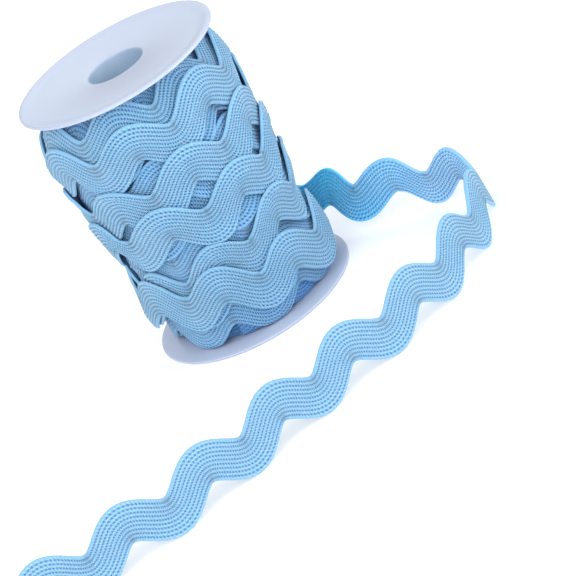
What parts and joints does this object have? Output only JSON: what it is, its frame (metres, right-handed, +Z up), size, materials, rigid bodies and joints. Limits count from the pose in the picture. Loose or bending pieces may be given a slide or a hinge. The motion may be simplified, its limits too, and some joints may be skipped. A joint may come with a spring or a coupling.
{
  "type": "spool of ric rac trim",
  "caption": "Roll of wide wavy ric rac trim wound on a flanged plastic spool that stands on one flange, with its loose end standing on edge in a wide bend.",
  "frame": {"origin": "on the surface that the roll stands on, under the middle of the box round the roll and its loose end", "axes": "+Z up along the spool's axis, -Y the front, +X the side on which the loose end comes round"},
  "size_m": [0.1586, 0.1372, 0.08],
  "materials": {
    "moulded_plastic": "milky injection-moulded polypropylene, satin",
    "woven_trim": "sky blue braided polyester, ribbed along its length, soft sheen"
  },
  "bodies": {
    "root": {"spool": "moulded_plastic", "winding": "woven_trim", "loose_end": "woven_trim"}
  },
  "joints": []
}
